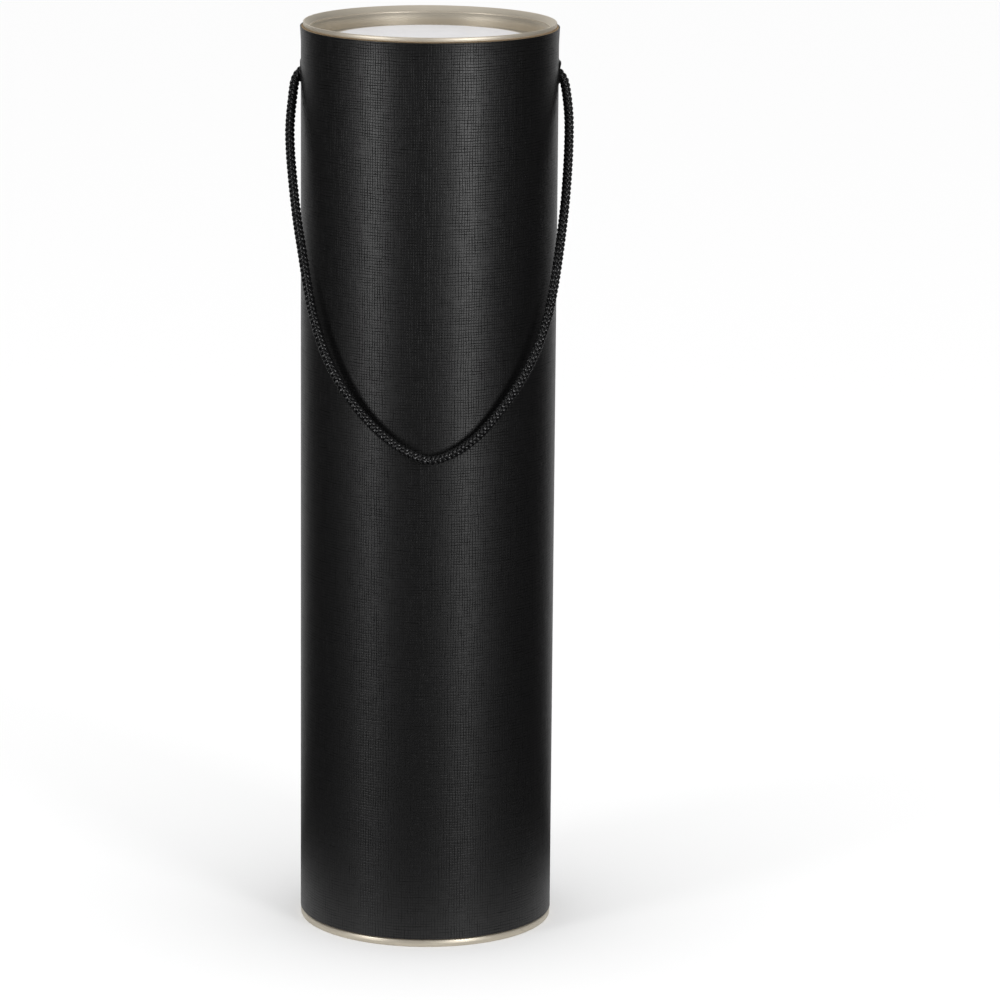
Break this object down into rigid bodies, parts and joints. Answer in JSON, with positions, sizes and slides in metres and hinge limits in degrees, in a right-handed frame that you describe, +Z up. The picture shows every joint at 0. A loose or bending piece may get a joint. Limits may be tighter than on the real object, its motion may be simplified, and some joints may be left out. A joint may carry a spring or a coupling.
{
  "type": "wine gift tube",
  "caption": "Round paperboard gift tube for a wine bottle, in black linen-embossed paper, with a pressed metal base, a metal plug lid and a braided cord handle.",
  "frame": {"origin": "centre of the tube's foot, on the surface it stands on", "axes": "+Z up the tube's axis, the cord holes along X, the hanging cord on the -Y side"},
  "size_m": [0.1028, 0.0966, 0.33],
  "materials": {
    "board": "grey-brown paperboard",
    "linen_paper": "black, linen embossed, satin",
    "liner_paper": "off-white, matt",
    "base_metal": "champagne lacquered sheet, satin",
    "lid_metal": "champagne lacquered sheet, satin, with a white floor",
    "braided_cord": "black braid"
  },
  "bodies": {
    "tube": {"board_tube": "board", "linen_wrap": "linen_paper", "inner_liner": "liner_paper", "bottom_end": "base_metal"},
    "lid": {"lid": "lid_metal"},
    "handle": {"handle_cord": "braided_cord", "cord_knot_left": "braided_cord", "cord_knot_right": "braided_cord"}
  },
  "joints": [
    {"name": "lid_lift", "type": "slide", "parent": "tube", "child": "lid", "axis": [0, 0, 1], "range_m": [0, 0.045]},
    {"name": "handle_swing", "type": "hinge", "parent": "tube", "child": "handle", "pos_m": [0, 0, 0.312], "axis": [-1, 0, 0], "range_deg": [0, 319]}
  ]
}
